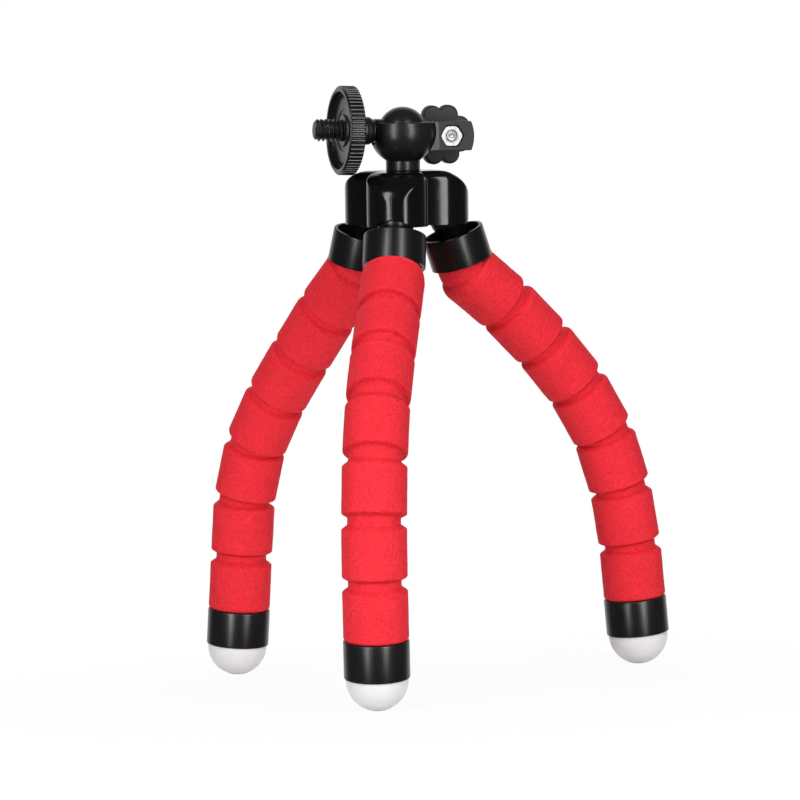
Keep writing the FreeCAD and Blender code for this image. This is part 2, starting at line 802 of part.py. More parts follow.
# Set the model down on its feet, then move it so that the origin is under its middle.
stand = standing_frame(leg_frame_lists)
extent = FreeCAD.BoundBox()
for node, item in pieces.items():
    item.Placement = stand * frames[node]
document.recompute()
for item in pieces.values():
    extent.add(item.Shape.optimalBoundingBox(False, False))
centring = Placement(Vector(-extent.Center.x, -extent.Center.y, 0), Rotation())
stand = centring * stand
for node, item in pieces.items():
    item.Placement = stand * frames[node]
document.recompute()

for item in document.Objects:
    if "Invalid" in item.State or "Error" in item.State:
        raise ValueError("failed: " + item.Label)
os.makedirs("parts", exist_ok=True)
for node, item in pieces.items():
    if item.Shape.isNull() or not item.Shape.isValid() or len(item.Shape.Solids) != 1:
        raise ValueError("bad shape: " + node)
for node, item in pieces.items():
    item.Shape.exportStep("parts/%s.step" % node)
print(len(pieces), "pieces, box", extent)
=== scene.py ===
"""Looks of the mini tripod: grooved foam legs, moulded black plastic, zinc and white rubber.

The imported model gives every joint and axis. The settings, the finishes and the sizes of the foam and
the stage are in metres. The sizes and outlines of the other pieces are in millimetres, in the
piece's own frame.
"""

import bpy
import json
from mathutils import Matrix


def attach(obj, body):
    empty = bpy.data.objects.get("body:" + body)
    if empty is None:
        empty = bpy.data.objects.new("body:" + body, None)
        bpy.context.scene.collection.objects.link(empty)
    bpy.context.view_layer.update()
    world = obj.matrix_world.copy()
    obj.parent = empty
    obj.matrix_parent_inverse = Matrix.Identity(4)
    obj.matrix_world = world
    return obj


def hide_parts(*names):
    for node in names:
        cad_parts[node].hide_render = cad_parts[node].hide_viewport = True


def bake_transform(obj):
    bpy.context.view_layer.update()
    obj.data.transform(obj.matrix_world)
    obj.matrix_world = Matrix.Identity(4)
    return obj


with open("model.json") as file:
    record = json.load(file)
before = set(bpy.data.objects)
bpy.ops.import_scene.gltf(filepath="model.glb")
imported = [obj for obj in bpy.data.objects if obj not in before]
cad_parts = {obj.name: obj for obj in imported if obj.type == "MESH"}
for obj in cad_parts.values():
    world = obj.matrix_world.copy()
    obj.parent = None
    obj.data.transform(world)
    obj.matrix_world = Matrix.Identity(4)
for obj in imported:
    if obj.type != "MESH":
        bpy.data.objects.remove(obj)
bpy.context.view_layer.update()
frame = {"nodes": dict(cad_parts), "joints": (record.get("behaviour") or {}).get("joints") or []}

import json
import math

import bmesh
import bpy
import numpy as np
from bpy.props import FloatProperty, FloatVectorProperty, IntProperty, PointerProperty
from mathutils import Matrix, Vector, noise

bl_info = {
    "name": "Mini Tripod Looks",
    "version": (1, 0, 0),
    "blender": (4, 5, 0),
    "location": "3D View > Sidebar > Tripod",
    "description": "Builds the visible pieces and finishes of a mini tripod round its packed model",
    "category": "Object",
}

MM = 0.001
LEGS = ("front_leg", "right_leg", "left_leg")
LINKS = 7
BALL_RISE = 26.5
HEAD_TURN = math.radians(17.5)
FRONT_LOBE = math.radians(260.0)
KNOB_TURN = math.radians(21.0)
JOINTS = {joint["name"]: joint for joint in frame["joints"]}
ROOT = "tripod_hub"


# ---------------- settings

def length(name, description, default, precision=5):
    """A setting that is a length in metres."""
    return FloatProperty(name=name, description=description, default=default, unit="LENGTH",
                         precision=precision)


def tint(name, description, *default):
    """A setting that is a colour; one number stands for a grey."""
    return FloatVectorProperty(name=name, description="Colour of " + description, subtype="COLOR",
                               default=default * 3 if len(default) == 1 else default, min=0, max=1)


class TripodFoam(bpy.types.PropertyGroup):
    """Sizes of the foam sleeves."""
    radius: length("Radius", "Outer radius of the foam", 0.0090)
    groove_radius: length("Groove radius", "Radius at the bottom of a groove", 0.00735)
    groove_half: length("Half groove", "Half the width of a groove at the top", 0.0024)
    bore: length("Bore", "Radius of the hole for the chain", 0.00512)
    pitch: length("Pitch", "Distance from groove to groove", 0.0171)
    waviness: length("Waviness", "How uneven the skin of the foam is", 0.00007, 6)


class TripodHead(bpy.types.PropertyGroup):
    """Sizes of the ball head and its lock wheel."""
    thread_pitch: length("Thread pitch", "Pitch of the camera screw", 0.00127, 6)
    screw_radius: length("Screw radius", "Outer radius of the camera screw", 0.003175, 6)
    wheel_radius: length("Wheel radius", "Outer radius over the ribs", 0.01265)
    wheel_ribs: IntProperty(name="Wheel ribs", description="Number of ribs round the wheel",
                            default=60, min=12, max=120)
    rib_radius: length("Rib radius", "Radius of one rounded rib", 0.00043)
    voxel: length("Skin step", "Step of the skin laid over the ball cup", 0.00019, 6)


class TripodFinishes(bpy.types.PropertyGroup):
    """Colours of the finishes."""
    foam: tint("Foam", "the foam", 0.92, 0.028, 0.045)
    # Dark red of the pores, also used for the painted shade on the walls of the grooves.
    foam_pores_and_groove_shade: tint("Deep foam", "pores and grooves", 0.60, 0.008, 0.020)
    hub: tint("Hub", "the glossy plastic", 0.0025)
    satin: tint("Collars", "the satin plastic", 0.004)
    head: tint("Head", "the cup, the ball and the stem", 0.008)
    matte: tint("Matte plastic", "the knob and the lug", 0.022)
    wheel: tint("Wheel", "the lock wheel", 0.009)
    rubber: tint("Feet", "the rubber feet", 0.82)
    zinc: tint("Zinc", "the nut and the bolt", 0.62, 0.62, 0.61)


# ---------------- frames

def joint_spot(name):
    """Where a joint is."""
    return Vector(JOINTS[name]["pos_m"])


def joint_axis(name):
    """Direction of a joint's axis."""
    return Vector(JOINTS[name]["axis"]).normalized()


def frame_of(origin, up, side):
    """A frame with its Z axis along up and its Y axis as near to side as it can be."""
    z = up.normalized()
    x = side.cross(z).normalized()
    matrix = Matrix((x, z.cross(x), z)).transposed().to_4x4()
    matrix.translation = origin
    return matrix


def middle_of(node):
    """Centre of a node's skin, which for a turned node lies on its axis."""
    total = Vector()
    area = 0.0
    for face in frame["nodes"][node].data.polygons:
        total += face.center * face.area
        area += face.area
    return total / area


def leg_frames(leg):
    """Frames of a leg's collar and seven links. Z is up along the piece and X is outwards."""
    spots = [joint_spot(leg + "_hip")]
    spots += [joint_spot("%s_bend_%d" % (leg, number)) for number in range(1, LINKS + 1)]
    spots.append(middle_of(leg + "_foot_collar"))
    side = -joint_axis(leg + "_hip")
    return [frame_of(spots[index], spots[index] - spots[index + 1], side)
            for index in range(LINKS + 1)]


def head_frames():
    """Frames of the hub, the head, the stem and the clamp. The hips lie in a plane of the hub."""
    ball = joint_spot("ball_tilt")
    across = joint_axis("ball_tilt")
    front, right, left = (joint_spot(leg + "_hip") for leg in LEGS)
    head = frame_of(ball, (right - front).cross(left - front), across)
    hub = head @ Matrix.Translation((0, 0, -BALL_RISE * MM)) @ Matrix.Rotation(-HEAD_TURN, 4, "Z")
    stem = frame_of(ball, joint_axis("camera_roll"), across)
    clamp = frame_of(joint_spot("clamp_turn"), joint_axis("clamp_turn"), -head.col[2].xyz)
    return {"hub": hub, "head": head, "stem": stem, "clamp": clamp}


def body_of(leg, index):
    """Name of the body of a leg's collar, or of one of its links."""
    return leg + "_top" if index == 0 else "%s_joint_%d" % (leg, index)


# ---------------- mesh making

def add_object(name, data):
    """A new object in the scene."""
    item = bpy.data.objects.new(name, data)
    bpy.context.scene.collection.objects.link(item)
    return item


def edit_mesh(mesh, change):
    """Change a mesh by BMesh."""
    work = bmesh.new()
    work.from_mesh(mesh)
    change(work)
    work.to_mesh(mesh)
    work.free()


def make_piece(name, vertices, faces, matrix, finish, sharp=42.0):
    """Make a piece from points in metres in its own frame, and keep those points as spot."""
    mesh = bpy.data.meshes.new(name)
    mesh.from_pydata([tuple(vertex) for vertex in vertices], [], faces)
    mesh.update()
    edit_mesh(mesh, lambda work: bmesh.ops.recalc_face_normals(work, faces=work.faces))
    return place_piece(name, mesh, matrix, finish, sharp)


def place_piece(name, mesh, matrix, finish, sharp=42.0):
    """Put a finished mesh in the row frame as a smooth shaded object."""
    keep_spots(mesh)
    mesh.transform(matrix)
    mesh.shade_smooth()
    mesh.set_sharp_from_angle(angle=math.radians(sharp))
    piece = add_object(name, mesh)
    mesh.materials.clear()
    mesh.materials.append(finish)
    return piece


def keep_spots(mesh):
    """Store each point's place in the piece's own frame, for patterns that follow the piece."""
    spots = np.empty(len(mesh.vertices) * 3, np.float32)
    mesh.vertices.foreach_get("co", spots)
    mesh.attributes.new("spot", "FLOAT_VECTOR", "POINT").data.foreach_set("vector", spots)


def arc(centre, radius, start, finish, steps):
    """Points (r, z) of an arc in an outline, angles in degrees from the +r direction."""
    turns = np.radians(np.linspace(start, finish, steps))
    return [(centre[0] + radius * math.cos(t), centre[1] + radius * math.sin(t), 0) for t in turns]


def soften(corners, closed):
    """Round the corners (r, z, rounding) of an outline."""
    steps = 5
    soft = []
    count = len(corners)
    for index, (r, z, rounding) in enumerate(corners):
        here = Vector((r, z))
        at_end = not closed and index in (0, count - 1)
        if rounding <= 0 or at_end:
            soft.append((r, z))
            continue
        before = Vector(corners[index - 1][:2]) - here
        after = Vector(corners[(index + 1) % count][:2]) - here
        angle = before.angle(after)
        reach = rounding / math.tan(angle / 2)
        reach = min(reach, before.length * 0.49, after.length * 0.49)
        start = here + before.normalized() * reach
        finish = here + after.normalized() * reach
        for step in range(steps + 1):
            t = step / steps
            spot = start * (1 - t) ** 2 + here * 2 * t * (1 - t) + finish * t ** 2
            soft.append((spot.x, spot.y))
    return soft


def turned(name, corners, matrix, finish, segments=96, closed=False):
    """Turn an outline in millimetres about the frame's Z axis."""
    outline = soften(corners, closed)
    vertices = []
    rings = []
    for r, z in outline:
        if r < 1e-6:
            rings.append([len(vertices)])
            vertices.append((0, 0, z * MM))
            continue
        rings.append(list(range(len(vertices), len(vertices) + segments)))
        for step in range(segments):
            turn = 2 * math.pi * step / segments
            vertices.append((r * MM * math.cos(turn), r * MM * math.sin(turn), z * MM))
    pairs = list(zip(rings, rings[1:]))
    if closed:
        pairs.append((rings[-1], rings[0]))
    faces = [face for one, two in pairs for face in ring_faces(one, two)]
    return make_piece(name, vertices, faces, matrix, finish)


def ring_faces(one, two):
    """Faces between two rings of points, either of which may be a single pole."""
    count = max(len(one), len(two))
    if count == 1:
        return []
    faces = []
    for step in range(count):
        after = (step + 1) % count
        if len(one) == 1:
            faces.append((one[0], two[step], two[after]))
        elif len(two) == 1:
            faces.append((one[step], two[0], one[after]))
        else:
            faces.append((one[step], two[step], two[after], one[after]))
    return faces


def soft_most(first, second, softness):
    """The larger of two arrays, with a rounded change from one to the other."""
    return softness * np.logaddexp(first / softness, second / softness)


def soft_least(first, second, softness):
    """The smaller of two arrays, with a rounded change from one to the other."""
    return -soft_most(-first, -second, softness)


def lobed_radius(turns, core, circle, lobe, count, softness):
    """Radius of a core with round lobes on a circle about it, at each turn."""
    radius = np.full(turns.shape, float(core))
    for index in range(count):
        away = turns - 2 * math.pi * index / count
        inside = lobe ** 2 - (circle * np.sin(away)) ** 2
        reached = (inside > 0) & (np.cos(away) > 0)
        lobe_reach = np.where(reached, circle * np.cos(away) + np.sqrt(np.abs(inside)), core * 0.5)
        radius = soft_most(radius, lobe_reach, softness)
    return radius


def level_ring(turns, radius, level):
    """Points of a ring about the Z axis; the radius and the level may change with the turn."""
    return np.stack([radius * np.cos(turns), radius * np.sin(turns),
                     np.full(turns.shape, level)], axis=1)


def grid_solid(name, rings, matrix, finish, sharp=42.0):
    """Close a stack of rings, given as arrays of points in millimetres, with a fan at each end."""
    count = len(rings[0])
    vertices = [tuple(point * MM) for ring in rings for point in ring]
    faces = []
    for index in range(len(rings) - 1):
        low = list(range(index * count, (index + 1) * count))
        faces += ring_faces(low, [item + count for item in low])
    for ring, order in ((0, 1), (len(rings) - 1, -1)):
        hub = len(vertices)
        vertices.append(tuple(np.mean(rings[ring], axis=0) * MM))
        around = list(range(ring * count, (ring + 1) * count))[::order]
        faces += ring_faces([hub], around)
    return make_piece(name, vertices, faces, matrix, finish, sharp)


def node_copy(node, name):
    """A merged copy of a node's mesh, in the row frame."""
    mesh = frame["nodes"][node].data.copy()
    mesh.name = name
    edit_mesh(mesh, lambda work: bmesh.ops.remove_doubles(work, verts=work.verts, dist=1e-6))
    return mesh


def finished_mesh(piece):
    """The mesh of an object with its modifiers applied, which replaces the object."""
    depsgraph = bpy.context.evaluated_depsgraph_get()
    mesh = bpy.data.meshes.new_from_object(piece.evaluated_get(depsgraph))
    bpy.data.objects.remove(piece)
    return mesh


def moulded_skin(node, name, matrix, finish, voxel):
    """Lay a fine skin over a node, with its edges rounded as a mould rounds them."""
    work = add_object(name + "_work", node_copy(node, name))
    skin = work.modifiers.new("skin", "REMESH")
    skin.mode = "VOXEL"
    skin.voxel_size = voxel
    ease = work.modifiers.new("ease", "SMOOTH")
    ease.factor = 0.5
    ease.iterations = 2
    mesh = finished_mesh(work)
    mesh.transform(matrix.inverted())
    return place_piece(name, mesh, matrix, finish, sharp=180.0)


# ---------------- finishes

class Wire:
    """A socket of a node tree. Sums with it add Math nodes."""

    def __init__(self, net, socket):
        self.net = net
        self.socket = socket

    def maths(self, operation, *terms):
        return self.net.add("ShaderNodeMath", {"operation": operation}, dict(enumerate(terms)))

    def __add__(self, other):
        return self.maths("ADD", self, other)

    def __sub__(self, other):
        return self.maths("SUBTRACT", self, other)

    def __rsub__(self, other):
        return self.maths("SUBTRACT", other, self)

    def __mul__(self, other):
        return self.maths("MULTIPLY", self, other)

    __radd__ = __add__
    __rmul__ = __mul__

    def size(self):
        """The value without its sign."""
        return self.maths("ABSOLUTE", self)

    def step(self, low, high):
        """0 below low, 1 above high, smooth between; low may be the larger."""
        return self.net.add("ShaderNodeMapRange", {"interpolation_type": "SMOOTHSTEP"},
                            {"Value": self, "From Min": low, "From Max": high})


def rgba(colour):
    """A colour with its alpha; a colour that comes from a node stays a link."""
    return colour if isinstance(colour, Wire) else (*colour, 1.0)


class Net:
    """The node tree of one finish, or of the world."""

    def __init__(self, name, store=None):
        self.material = (bpy.data.materials if store is None else store).new(name)
        self.material.use_nodes = True
        self.tree = self.material.node_tree
        self.tree.nodes.clear()

    def add(self, kind, settings=None, values=None, out=0):
        """Add a node: its settings first, then the values or links of its sockets."""
        node = self.tree.nodes.new(kind)
        for key, setting in (settings or {}).items():
            setattr(node, key, setting)
        for key, value in (values or {}).items():
            if isinstance(value, Wire):
                self.tree.links.new(value.socket, node.inputs[key])
            else:
                node.inputs[key].default_value = value
        return Wire(self, node.outputs[out]) if len(node.outputs) else None

    def places(self):
        """Object coordinates."""
        return self.add("ShaderNodeTexCoord", out=3)

    def spot(self, axis):
        """The X, Y or Z coordinate in the piece's own frame."""
        whole = self.add("ShaderNodeAttribute", {"attribute_name": "spot"}, out=1)
        return self.add("ShaderNodeSeparateXYZ", {}, {"Vector": whole}, "XYZ".index(axis))

    def speckle(self, size, detail=2.0, roughness=0.5):
        """Noise whose grains are about a size across."""
        return self.add("ShaderNodeTexNoise", {}, {
            "Vector": self.places(), "Scale": 1.0 / size, "Detail": detail, "Roughness": roughness})

    def cells(self, size):
        """Distance to the nearest of scattered points, about a size apart."""
        return self.add("ShaderNodeTexVoronoi", {}, {"Vector": self.places(), "Scale": 1.0 / size})

    def between(self, factor, first, second):
        """Mix two colours."""
        return self.add("ShaderNodeMix", {"data_type": "RGBA"},
                        {0: factor, 6: rgba(first), 7: rgba(second)}, out=2)

    def close(self, colour, roughness, height, depth, specular=0.5, metallic=0.0):
        """End the tree in a principled surface with a bump."""
        bump = self.add("ShaderNodeBump", {}, {"Height": height, "Distance": depth})
        surface = self.add("ShaderNodeBsdfPrincipled", {}, {
            "Base Color": rgba(colour), "Roughness": roughness, "Normal": bump,
            "Specular IOR Level": specular, "Metallic": metallic})
        self.add("ShaderNodeOutputMaterial", {}, {"Surface": surface})
        return self.material


def lighter(colour, amount):
    """A colour scaled towards light or dark."""
    return tuple(min(1.0, part * amount) for part in colour)


def foam_finish(colours):
    """Fine red sponge: small pores, soft mottling, and painted shade in deeper red on the walls of the
    grooves.
    """
    net = Net("foam_sponge")
    pores = net.cells(0.00045).step(0.50, 0.08)
    grain = net.speckle(0.00028, 3.0, 0.65)
    mottle = net.speckle(0.0008, 3.0, 0.6).step(0.36, 0.66)
    clouds = net.speckle(0.0040, 2.0).step(0.35, 0.70)
    # The groove attribute is painted shade: deeper red on the walls of the grooves, most on the steep
    # upper wall.
    groove = net.add("ShaderNodeAttribute", {"attribute_name": "groove"}, out=2)
    flecks = net.speckle(0.0007, 1.0).step(0.70, 0.78)
    # shade adds the random pores, mottling and flecks to the painted groove shade.
    shade = pores * 0.26 + mottle * 0.24 + clouds * 0.06 + groove * 0.70 + flecks * 0.30
    colour = net.between(shade.maths("MINIMUM", shade, 1.0), colours.foam, colours.foam_pores_and_groove_shade)
    height = grain * 0.6 + pores * -0.5 + mottle * -0.4 + flecks * -0.3
    return net.close(colour, 0.60 + grain * 0.14, height, 0.00026, 0.20)


def moulded_finish(name, colour, roughness, seam, grain_size, grain_depth, specular):
    """Moulded black plastic: faint grain, worn patches and, with seam above 0, a parting line."""
    net = Net(name)
    patches = net.speckle(0.004, 4.0, 0.6)
    grain = net.speckle(grain_size, 2.0)
    line = net.spot("Y").size().step(0.00011, 0.00003) * seam
    scuffs = net.speckle(0.0009, 5.0, 0.7).step(0.60, 0.72)
    worn = net.between(scuffs * 0.5 + line * 0.4, colour, lighter(colour, 2.2))
    gloss = patches * 0.10 + scuffs * 0.10 + (roughness - 0.06)
    return net.close(worn, gloss, grain * 0.5 + line, grain_depth, specular)


def zinc_finish(name, colours, metallic):
    """Bright zinc plate with fine tool marks."""
    net = Net(name)
    marks = net.speckle(0.00025, 3.0, 0.6)
    patches = net.speckle(0.002, 3.0)
    colour = net.between(patches.step(0.3, 0.75), colours.zinc, lighter(colours.zinc, 0.72))
    return net.close(colour, marks * 0.20 + 0.30, marks, 0.00003, metallic=metallic)


def screw_finish():
    """Blackened steel, worn brighter in patches at its free end, and kept dark as painted shade and
    duller in the wheel's recess.
    """
    net = Net("black_steel")
    # free is 0 in the wheel's recess, where the steel stays dark as painted shade, and 1 at the free
    # end.
    free = net.spot("Z").step(0.0180, 0.0205)
    wear = net.speckle(0.0012, 4.0, 0.65)
    colour = net.between(wear.step(0.52, 0.72) * free, (0.014, 0.014, 0.015), (0.070, 0.070, 0.071))
    return net.close(colour, wear * 0.2 + 0.62 - free * 0.34, wear, 0.00003, metallic=0.35)


def rubber_finish(colours):
    """White rubber with faint turned rings and a trace of handling."""
    net = Net("white_rubber")
    along = net.add("ShaderNodeCombineXYZ", {}, {"Z": net.spot("Z")})
    rings = net.add("ShaderNodeTexWave", {"bands_direction": "Z"},
                    {"Vector": along, "Scale": 330.0, "Distortion": 0.0})
    marks = net.speckle(0.003, 5.0, 0.6)
    colour = net.between(marks.step(0.5, 0.8) * 0.6, colours.rubber, lighter(colours.rubber, 0.9))
    height = rings * 0.35 + net.speckle(0.0003) * 0.3
    return net.close(colour, marks * 0.15 + 0.34, height, 0.00005, 0.45)


def chain_finish():
    """Plain dark plastic of the chain inside the foam, with moulding marks."""
    net = Net("chain_plastic")
    patches = net.speckle(0.002, 4.0)
    colour = net.between(patches, (0.020, 0.020, 0.020), (0.040, 0.040, 0.040))
    return net.close(colour, patches * 0.2 + 0.4, patches, 0.00003)


def build_finishes(colours):
    """Make every finish once."""
    return {
        "foam": foam_finish(colours),
        "hub": moulded_finish("hub_gloss", colours.hub, 0.155, 1.0, 0.0010, 0.000008, 0.40),
        "foot": moulded_finish("foot_collar_satin", colours.satin, 0.33, 1.0, 0.0005, 0.00002,
                               0.85),
        "satin": moulded_finish("collar_satin", colours.satin, 0.30, 1.0, 0.0005, 0.00002, 0.50),
        "head": moulded_finish("head_satin", colours.head, 0.31, 0.0, 0.0008, 0.00002, 0.50),
        "matte": moulded_finish("matte_grain", colours.matte, 0.56, 0.0, 0.0003, 0.00006, 0.40),
        "wheel": moulded_finish("wheel_grain", colours.wheel, 0.31, 0.0, 0.0004, 0.00002, 0.70),
        "zinc": zinc_finish("zinc_plate", colours, 0.50),
        "bolt": zinc_finish("zinc_bolt", colours, 0.92),
        "steel": screw_finish(),
        "rubber": rubber_finish(colours),
        "chain": chain_finish(),
    }


FINISHES = {}


# ---------------- foam

SLEEVE_SIDES = 96
SLEEVE_START = -0.0044
SHOULDER = 0.0026
SHOULDER_DROP = 0.0004
LAP = 0.0036
LAP_STEEPER = 0.0014
SWELL = 0.0003
SWELL_LONG = 0.004
COARSE_WAVES = 160.0
FINE_WAVES = 520.0
BEND_REACH = 0.0026
COLLAR_REACH = 0.0034
COLLAR_ZONE = 1.75
FOOT_GAP = 0.0015
END_ROUND = 0.0011
# Where a groove's walls and the shade on them lie, and their widths, in shares of half a groove.
UPPER_WALL = (0.34, 0.54)
LOWER_WALL = (0.26, 0.68)
UPPER_SHADE = (0.60, 0.17)
LOWER_SHADE = (0.45, 0.15)


def groove_profile(away, foam):
    """Radius and shade at a distance below a groove's middle, whose upper wall is the steeper."""
    share = away / foam.groove_half
    start, width = UPPER_WALL if share < 0 else LOWER_WALL
    wall = min(1.0, max(0.0, (abs(share) - start) / width))
    rise = wall * wall * (3 - 2 * wall)
    upper = math.exp(-((share + UPPER_SHADE[0]) / UPPER_SHADE[1]) ** 2)
    lower = math.exp(-((share - LOWER_SHADE[0]) / LOWER_SHADE[1]) ** 2)
    shade = upper + 0.30 * lower
    return foam.groove_radius + (foam.radius - foam.groove_radius) * rise, shade


def top_profile(away, foam):
    """Radii and shade at a distance below the joint in the collar: a round shoulder.

    Towards +X, where the leg bends to, the foam swells and laps over the collar's rim.
    """
    turns = np.linspace(0, 2 * math.pi, SLEEVE_SIDES, endpoint=False)
    towards = np.maximum(0, np.cos(turns))
    rise = (away - SHOULDER_DROP + LAP * towards) / (SHOULDER - LAP_STEEPER * towards)
    rise = np.clip(rise, 0, 1)
    swell = SWELL * towards * (1 - min(1.0, max(0.0, away / SWELL_LONG)))
    full = foam.radius + swell - foam.groove_radius
    return foam.groove_radius + full * np.sqrt(rise * (2 - rise)), 0.0


def bent_ring(upper, lower, along, zone):
    """Frame of a ring at a distance along the sleeve from the joint between two pieces."""
    turn = min(1.0, max(0.0, (along + zone) / (2 * zone)))
    turn = turn * turn * (3 - 2 * turn)
    hinge = lower.translation
    above = hinge - upper.col[2].xyz * along
    below = hinge - lower.col[2].xyz * along
    facing = upper.to_quaternion().slerp(lower.to_quaternion(), turn)
    ring = facing.to_matrix().to_4x4()
    ring.translation = above.lerp(below, turn)
    return ring


def foam_sleeve(name, stations, foam):
    """Close a sleeve over stations (ring frame, radius or radii, shade), with its bore inside."""
    vertices = []
    painted_groove_shades = []
    rings = []
    inner = stations[::-4]
    if inner[-1] is not stations[0]:
        inner.append(stations[0])
    wall = [(station[0], foam.bore, 0.0) for station in inner]
    for ring, radii, depth in stations + wall:
        rings.append(list(range(len(vertices), len(vertices) + SLEEVE_SIDES)))
        for step, radius in enumerate(np.broadcast_to(radii, SLEEVE_SIDES)):
            turn = 2 * math.pi * step / SLEEVE_SIDES
            out = Vector((math.cos(turn), math.sin(turn), 0))
            spot = ring @ (out * radius)
            if radius > foam.bore:
                uneven = noise.noise(spot * COARSE_WAVES) + 0.5 * noise.noise(spot * FINE_WAVES)
                spot = ring @ (out * (radius + uneven * foam.waviness))
            vertices.append(spot)
            painted_groove_shades.append(depth)
    pairs = zip(rings, rings[1:] + rings[:1])
    faces = [face for one, two in pairs for face in ring_faces(one, two)]
    piece = make_piece(name, vertices, faces, Matrix(), FINISHES["foam"], 50.0)
    # The groove attribute holds each point's painted shade on the walls of the grooves.
    layer = piece.data.attributes.new("groove", "FLOAT", "POINT")
    layer.data.foreach_set("value", painted_groove_shades)
    return piece


def sleeve_steps(start, finish, foam):
    """Distances from the groove's middle at which rings are laid, closer in the groove."""
    edge = foam.groove_half * 1.25
    fine = list(np.linspace(-edge, edge, 25))
    before = list(np.linspace(start, -edge, 7))[:-1]
    after = list(np.linspace(edge, finish, 7))[1:]
    return before + fine + after


class TRIPOD_OT_foam_legs(bpy.types.Operator):
    """Make the grooved foam sleeves, each piece shaped to the bend at one joint of its leg; only the
    lowest piece is attached to its link
    """
    bl_idname = "tripod.foam_legs"
    bl_label = "Foam legs"

    def execute(self, context):
        foam = context.scene.tripod_foam
        half = foam.pitch / 2
        zone = foam.groove_half
        for leg in LEGS:
            frames = leg_frames(leg)
            for index in range(LINKS):
                upper, lower = frames[index], frames[index + 1]
                start = -half if index else SLEEVE_START
                profile = groove_profile if index else top_profile
                stations = []
                for along in sleeve_steps(start, half, foam):
                    ring = bent_ring(upper, lower, along, zone if index else zone * COLLAR_ZONE)
                    stations.append((ring, *profile(along, foam)))
                piece = foam_sleeve("%s_sleeve_%d" % (leg, index), stations, foam)
                if index:
                    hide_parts("%s_foam_%d" % (leg, index))
                reach = BEND_REACH if index else COLLAR_REACH
                joint = lower.translation
                joint + upper.col[2].xyz * reach
                joint - lower.col[2].xyz * reach
                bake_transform(piece)
            last = frames[LINKS]
            stations = []
            for down, radius in self.end_outline(foam):
                ring = last.copy()
                ring.translation = last @ Vector((0, 0, -down))
                stations.append((ring, radius, 0.0))
            piece = foam_sleeve("%s_sleeve_%d" % (leg, LINKS), stations, foam)
            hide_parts("%s_foam_%d" % (leg, LINKS))
            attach(piece, body_of(leg, LINKS))
        return {"FINISHED"}

    def end_outline(self, foam):
        """Distance below the joint and radius of the rings of the lowest half drum."""
        bend = foam.pitch - FOOT_GAP - END_ROUND
        outline = [(down, foam.radius) for down in np.linspace(foam.pitch / 2, bend, 7)]
        for angle in np.radians(np.linspace(12, 90, 7)):
            outline.append((bend + END_ROUND * math.sin(angle),
                            foam.radius - END_ROUND + END_ROUND * math.cos(angle)))
        return outline


# ---------------- leg plastics and feet

HIP_BALL = 5.3
CHAIN_BALL = 3.5
CHAIN_BALL_LEVEL = -15.6
FOOT_DOME = 8.6
FOOT_DOME_LEVEL = -26.7
COLLAR_OUTLINE = [
    (4.38, -7.4, 0.5), (7.7, -7.4, 0.6), (7.9, -3.9, 0.2), (8.9, -3.9, 0.55),
    (8.9, -13.2, 0.16), (7.75, -13.2, 0.2), (7.65, -10.2, 0), (1.7, -10.2, 0)]
FOOT_COLLAR_OUTLINE = [
    (0, -23.1, 0), (6.0, -23.1, 0), (6.0, -26.1, 0), (9.1, -26.1, 0.3), (9.1, -15.6, 0.5),
    (5.0, -15.6, 0), (4.02, -15.6, 0), (4.02, -21.6, 0), (0, -21.6, 0)]
FOOT_PLUG_OUTLINE = [(0, -23.1, 0), (6.0, -23.1, 0), (6.0, -26.1, 0), (8.4, -26.1, 0.2)]


class TRIPOD_OT_collars(bpy.types.Operator):
    """Make the collars under the hub and the foot collars"""
    bl_idname = "tripod.collars"
    bl_label = "Collars"

    def execute(self, context):
        for leg in LEGS:
            frames = leg_frames(leg)
            corners = arc((0, 0), HIP_BALL, 90, -32, 22) + COLLAR_OUTLINE
            corners += arc((0, CHAIN_BALL_LEVEL), CHAIN_BALL, 61, -90, 14)
            corners[0] = (0, HIP_BALL, 0)
            corners[-1] = (0, CHAIN_BALL_LEVEL - CHAIN_BALL, 0)
            piece = turned(leg + "_collar_shell", corners, frames[0], FINISHES["satin"])
            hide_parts(leg + "_collar")
            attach(piece, body_of(leg, 0))
            piece = turned(leg + "_foot_collar_shell", FOOT_COLLAR_OUTLINE, frames[LINKS],
                           FINISHES["foot"])
            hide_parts(leg + "_foot_collar")
            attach(piece, body_of(leg, LINKS))
        return {"FINISHED"}


class TRIPOD_OT_feet(bpy.types.Operator):
    """Make the white rubber feet"""
    bl_idname = "tripod.feet"
    bl_label = "Rubber feet"

    def execute(self, context):
        for leg in LEGS:
            corners = FOOT_PLUG_OUTLINE + arc((0, FOOT_DOME_LEVEL), FOOT_DOME, 0, -90, 34)
            corners[-1] = (0, FOOT_DOME_LEVEL - FOOT_DOME, 0)
            piece = turned(leg + "_foot_dome", corners, leg_frames(leg)[LINKS], FINISHES["rubber"])
            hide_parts(leg + "_foot")
            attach(piece, body_of(leg, LINKS))
        return {"FINISHED"}


# ---------------- hub and head

